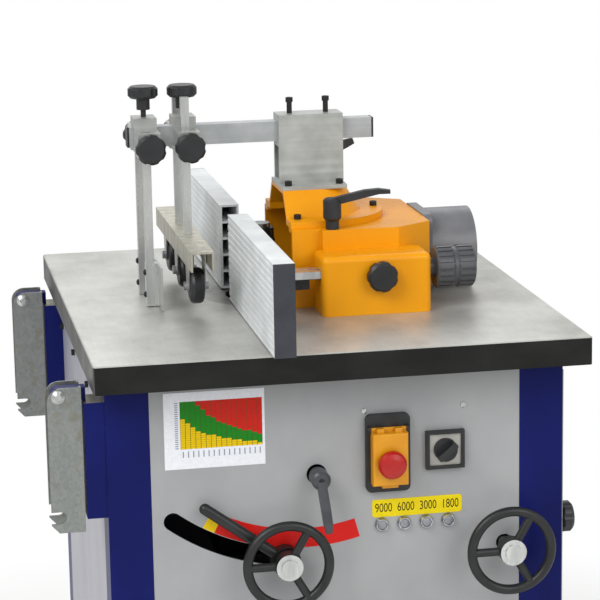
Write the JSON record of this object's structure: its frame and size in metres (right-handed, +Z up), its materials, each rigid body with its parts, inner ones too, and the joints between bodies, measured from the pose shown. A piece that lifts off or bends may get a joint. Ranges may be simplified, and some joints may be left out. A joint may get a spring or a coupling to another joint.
{
  "type": "spindle moulder",
  "caption": "Woodworking spindle moulder: iron table on a sheet-steel cabinet, tilting and rising spindle, split fence with dust hood, overhead arm with shoe and roller pressers.",
  "frame": {"origin": "on the floor, under the middle of the bounding box", "axes": "+Z up, +Y from the operator's side towards the rear, +X to the operator's right"},
  "size_m": [0.7585, 0.8237, 1.205],
  "materials": {
    "ground_iron": "ground, faint cloudy grinding marks",
    "steel": "machined steel",
    "blue_paint": "satin enamel",
    "grey_paint": "satin enamel",
    "orange_paint": "satin enamel on a casting",
    "dark_paint": "enamel on a casting",
    "galvanised": "galvanised sheet with blotches",
    "zinc": "zinc plated",
    "black_oxide": "black oxide screws",
    "bare_aluminium": "extruded, brushed",
    "black_plastic": "moulded",
    "yellow_plastic": "moulded",
    "red_plastic": "moulded",
    "green_plastic": "moulded",
    "grey_plastic": "moulded",
    "rubber": "drive belt and feet",
    "roller_plastic": "black tyre on a grey plastic hub"
  },
  "bodies": {
    "frame": {"cabinet_frame": "blue_paint", "front_panel": "grey_paint", "side_panels": "grey_paint", "levelling_feet": "rubber", "table": "ground_iron", "table_ring": "ground_iron", "frame_fasteners": "black_oxide", "panel_fittings": "black_plastic", "trunnion_blocks": "dark_paint", "tilt_gear_bracket": "dark_paint"},
    "cradle": {"tilt_cradle": "dark_paint"},
    "carriage": {"spindle_carriage": "dark_paint", "spindle_bearings": "steel", "drive_motor": "dark_paint", "drive_belt": "rubber"},
    "spindle": {"spindle_shaft": "steel", "spindle_pulley": "steel"},
    "hood": {"hood_body": "orange_paint", "hood_cover": "orange_paint", "hood_screws": "black_oxide", "dust_outlet": "grey_plastic", "presser_tower": "bare_aluminium", "rear_fence_bar": "steel"},
    "motor_pulley": {"motor_pulley": "steel"},
    "lift_screw": {"lift_screw": "steel"},
    "lift_handwheel": {"lift_handwheel": "black_plastic"},
    "lift_lock_lever": {"lift_lock_lever": "black_plastic"},
    "tilt_pinion_shaft": {"tilt_pinion_shaft": "steel"},
    "tilt_handwheel": {"tilt_handwheel": "black_plastic"},
    "tilt_lock_lever": {"tilt_lock_lever": "dark_paint"},
    "side_door": {"side_door": "grey_paint"},
    "door_knob": {"door_knob": "black_plastic"},
    "support_arm_front": {"support_arm_front": "galvanised"},
    "support_arm_rear": {"support_arm_rear": "galvanised"},
    "stop_lid": {"stop_lid": "yellow_plastic"},
    "stop_mushroom": {"stop_mushroom": "red_plastic"},
    "start_button": {"start_button": "green_plastic"},
    "selector_knob": {"selector_knob": "black_plastic"},
    "fine_adjust_knob": {"fine_adjust_knob": "black_plastic"},
    "front_fence_bar": {"front_fence_bar": "steel"},
    "front_fence_plate": {"front_fence_plate": "bare_aluminium"},
    "rear_fence_plate": {"rear_fence_plate": "bare_aluminium"},
    "box_knob_near": {"box_knob_near": "black_plastic"},
    "box_knob_far": {"box_knob_far": "black_plastic"},
    "hood_lever": {"hood_lever": "black_plastic"},
    "tower_lever": {"tower_lever": "black_plastic"},
    "presser_arm": {"presser_arm": "bare_aluminium"},
    "carrier_1": {"carrier_1": "bare_aluminium"},
    "top_knob_1": {"top_knob_1": "black_plastic"},
    "front_knob_1": {"front_knob_1": "black_plastic"},
    "rear_knob_1": {"rear_knob_1": "black_plastic"},
    "carrier_2": {"carrier_2": "bare_aluminium"},
    "top_knob_2": {"top_knob_2": "black_plastic"},
    "front_knob_2": {"front_knob_2": "black_plastic"},
    "rear_knob_2": {"rear_knob_2": "black_plastic"},
    "shoe_post": {"shoe_post": "zinc"},
    "roller_post": {"roller_post": "zinc"},
    "roller_1": {"roller_1": "roller_plastic"},
    "roller_2": {"roller_2": "roller_plastic"},
    "roller_3": {"roller_3": "roller_plastic"}
  },
  "joints": [
    {"name": "spindle_tilt", "type": "hinge", "parent": "frame", "child": "cradle", "pos_m": [-0.023, 0.014, 0.88], "axis": [0, 1, 0], "range_deg": [0, 30]},
    {"name": "spindle_lift", "type": "slide", "parent": "cradle", "child": "carriage", "axis": [0, 0, 1], "range_m": [-0.04, 0.02]},
    {"name": "spindle_turn", "type": "hinge", "parent": "carriage", "child": "spindle", "pos_m": [-0.023, 0.014, 0.88], "axis": [0, 0, 1], "continuous": true},
    {"name": "motor_turn", "type": "hinge", "parent": "carriage", "child": "motor_pulley", "pos_m": [-0.023, 0.184, 0.55], "axis": [0, 0, 1], "continuous": true},
    {"name": "lift_screw_turn", "type": "hinge", "parent": "cradle", "child": "lift_screw", "pos_m": [-0.057, -0.072, 0.68], "axis": [0, 0, 1], "range_deg": [-1441, 721]},
    {"name": "lift_wheel_turn", "type": "hinge", "parent": "cradle", "child": "lift_handwheel", "pos_m": [-0.057, -0.369, 0.572], "axis": [0, 1, 0], "range_deg": [-721, 1441]},
    {"name": "lift_lock_turn", "type": "hinge", "parent": "cradle", "child": "lift_lock_lever", "pos_m": [-0.057, -0.343, 0.572], "axis": [0, 1, 0], "range_deg": [-20, 25]},
    {"name": "tilt_pinion_turn", "type": "hinge", "parent": "frame", "child": "tilt_pinion_shaft", "pos_m": [0.1996, -0.18, 0.64046], "axis": [0, 1, 0], "range_deg": [-334, 0.5]},
    {"name": "tilt_wheel_turn", "type": "hinge", "parent": "frame", "child": "tilt_handwheel", "pos_m": [0.26597, -0.369, 0.56904], "axis": [0, 1, 0], "range_deg": [-0.5, 942]},
    {"name": "tilt_lock_turn", "type": "hinge", "parent": "frame", "child": "tilt_lock_lever", "pos_m": [-0.0073, -0.35, 0.6902], "axis": [0, 1, 0], "range_deg": [-70, 0]},
    {"name": "door_swing", "type": "hinge", "parent": "frame", "child": "side_door", "pos_m": [0.3583, 0.364, 0.48], "axis": [0, 0, 1], "range_deg": [0, 100]},
    {"name": "door_knob_turn", "type": "hinge", "parent": "side_door", "child": "door_knob", "pos_m": [0.357, -0.306, 0.594], "axis": [1, 0, 0], "range_deg": [0, 720]},
    {"name": "front_arm_swing", "type": "hinge", "parent": "frame", "child": "support_arm_front", "pos_m": [-0.3665, -0.304, 0.825], "axis": [0, 1, 0], "range_deg": [0, 90]},
    {"name": "rear_arm_swing", "type": "hinge", "parent": "frame", "child": "support_arm_rear", "pos_m": [-0.3665, 0.332, 0.825], "axis": [0, 1, 0], "range_deg": [0, 90]},
    {"name": "stop_lid_swing", "type": "hinge", "parent": "frame", "child": "stop_lid", "pos_m": [0.09455, -0.3385, 0.753], "axis": [-1, 0, 0], "range_deg": [0, 85]},
    {"name": "stop_press", "type": "slide", "parent": "stop_lid", "child": "stop_mushroom", "axis": [0, 1, 0], "range_m": [0, 0.005], "stiffness_N_per_m": 600, "springref_m": -0.002},
    {"name": "start_press", "type": "slide", "parent": "frame", "child": "start_button", "axis": [0, 1, 0], "range_m": [0, 0.004], "stiffness_N_per_m": 500, "springref_m": -0.002},
    {"name": "selector_turn", "type": "hinge", "parent": "frame", "child": "selector_knob", "pos_m": [0.178, -0.34, 0.715], "axis": [0, 1, 0], "range_deg": [-50, 40]},
    {"name": "fence_slide", "type": "slide", "parent": "frame", "child": "hood", "axis": [1, 0, 0], "range_m": [-0.01, 0.04]},
    {"name": "fine_adjust_turn", "type": "hinge", "parent": "hood", "child": "fine_adjust_knob", "pos_m": [0.237, -0.145, 0.94025], "axis": [1, 0, 0], "range_deg": [-721, 721]},
    {"name": "front_bar_slide", "type": "slide", "parent": "hood", "child": "front_fence_bar", "axis": [1, 0, 0], "range_m": [-0.004, 0.004]},
    {"name": "front_plate_slide", "type": "slide", "parent": "front_fence_bar", "child": "front_fence_plate", "axis": [0, 1, 0], "range_m": [-0.05, 0.01]},
    {"name": "rear_plate_slide", "type": "slide", "parent": "hood", "child": "rear_fence_plate", "axis": [0, 1, 0], "range_m": [-0.01, 0.05]},
    {"name": "near_box_knob_turn", "type": "hinge", "parent": "hood", "child": "box_knob_near", "pos_m": [0.122, -0.185, 0.9385], "axis": [0, 1, 0], "range_deg": [0, 720]},
    {"name": "far_box_knob_turn", "type": "hinge", "parent": "hood", "child": "box_knob_far", "pos_m": [0.122, 0.213, 0.9385], "axis": [0, 1, 0], "range_deg": [-720, 0]},
    {"name": "hood_lever_turn", "type": "hinge", "parent": "hood", "child": "hood_lever", "pos_m": [0.065, -0.1065, 1.01], "axis": [0, 0, 1], "range_deg": [-60, 15]},
    {"name": "tower_lever_turn", "type": "hinge", "parent": "hood", "child": "tower_lever", "pos_m": [0.081, 0.05, 1.076], "axis": [0, 1, 0], "range_deg": [-45, 45]},
    {"name": "arm_slide", "type": "slide", "parent": "hood", "child": "presser_arm", "axis": [1, 0, 0], "range_m": [-0.06, 0]},
    {"name": "carrier_1_slide", "type": "slide", "parent": "presser_arm", "child": "carrier_1", "axis": [1, 0, 0], "range_m": [-0.005, 0.005]},
    {"name": "top_knob_1_turn", "type": "hinge", "parent": "carrier_1", "child": "top_knob_1", "pos_m": [-0.1955, 0.014, 1.18], "axis": [0, 0, 1], "range_deg": [0, 720]},
    {"name": "front_knob_1_turn", "type": "hinge", "parent": "carrier_1", "child": "front_knob_1", "pos_m": [-0.1955, -0.065, 1.121], "axis": [0, 1, 0], "range_deg": [0, 720]},
    {"name": "rear_knob_1_turn", "type": "hinge", "parent": "carrier_1", "child": "rear_knob_1", "pos_m": [-0.1955, 0.093, 1.121], "axis": [0, 1, 0], "range_deg": [-720, 0]},
    {"name": "carrier_2_slide", "type": "slide", "parent": "presser_arm", "child": "carrier_2", "axis": [1, 0, 0], "range_m": [0, 0.03]},
    {"name": "top_knob_2_turn", "type": "hinge", "parent": "carrier_2", "child": "top_knob_2", "pos_m": [-0.137, 0.014, 1.18], "axis": [0, 0, 1], "range_deg": [0, 720]},
    {"name": "front_knob_2_turn", "type": "hinge", "parent": "carrier_2", "child": "front_knob_2", "pos_m": [-0.137, -0.065, 1.121], "axis": [0, 1, 0], "range_deg": [0, 720]},
    {"name": "rear_knob_2_turn", "type": "hinge", "parent": "carrier_2", "child": "rear_knob_2", "pos_m": [-0.137, 0.093, 1.121], "axis": [0, 1, 0], "range_deg": [-720, 0]},
    {"name": "shoe_post_slide", "type": "slide", "parent": "carrier_1", "child": "shoe_post", "axis": [0, 0, 1], "range_m": [0, 0.1]},
    {"name": "roller_post_slide", "type": "slide", "parent": "carrier_2", "child": "roller_post", "axis": [0, 0, 1], "range_m": [-0.015, 0.06]},
    {"name": "roller_1_turn", "type": "hinge", "parent": "roller_post", "child": "roller_1", "pos_m": [-0.14, -0.107, 0.924], "axis": [1, 0, 0], "continuous": true},
    {"name": "roller_2_turn", "type": "hinge", "parent": "roller_post", "child": "roller_2", "pos_m": [-0.14, 0.014, 0.924], "axis": [1, 0, 0], "continuous": true},
    {"name": "roller_3_turn", "type": "hinge", "parent": "roller_post", "child": "roller_3", "pos_m": [-0.14, 0.135, 0.924], "axis": [1, 0, 0], "continuous": true}
  ],
  "couplings": [
    {"joint": "motor_turn", "follows": "spindle_turn", "ratio": 1.0976},
    {"joint": "lift_screw_turn", "follows": "spindle_lift", "rad_per_m": 628.32},
    {"joint": "lift_wheel_turn", "follows": "spindle_lift", "rad_per_m": -628.32},
    {"joint": "tilt_pinion_turn", "follows": "spindle_tilt", "ratio": -11.111},
    {"joint": "tilt_wheel_turn", "follows": "spindle_tilt", "ratio": 31.373},
    {"joint": "fine_adjust_turn", "follows": "front_bar_slide", "rad_per_m": 3141.6}
  ]
}
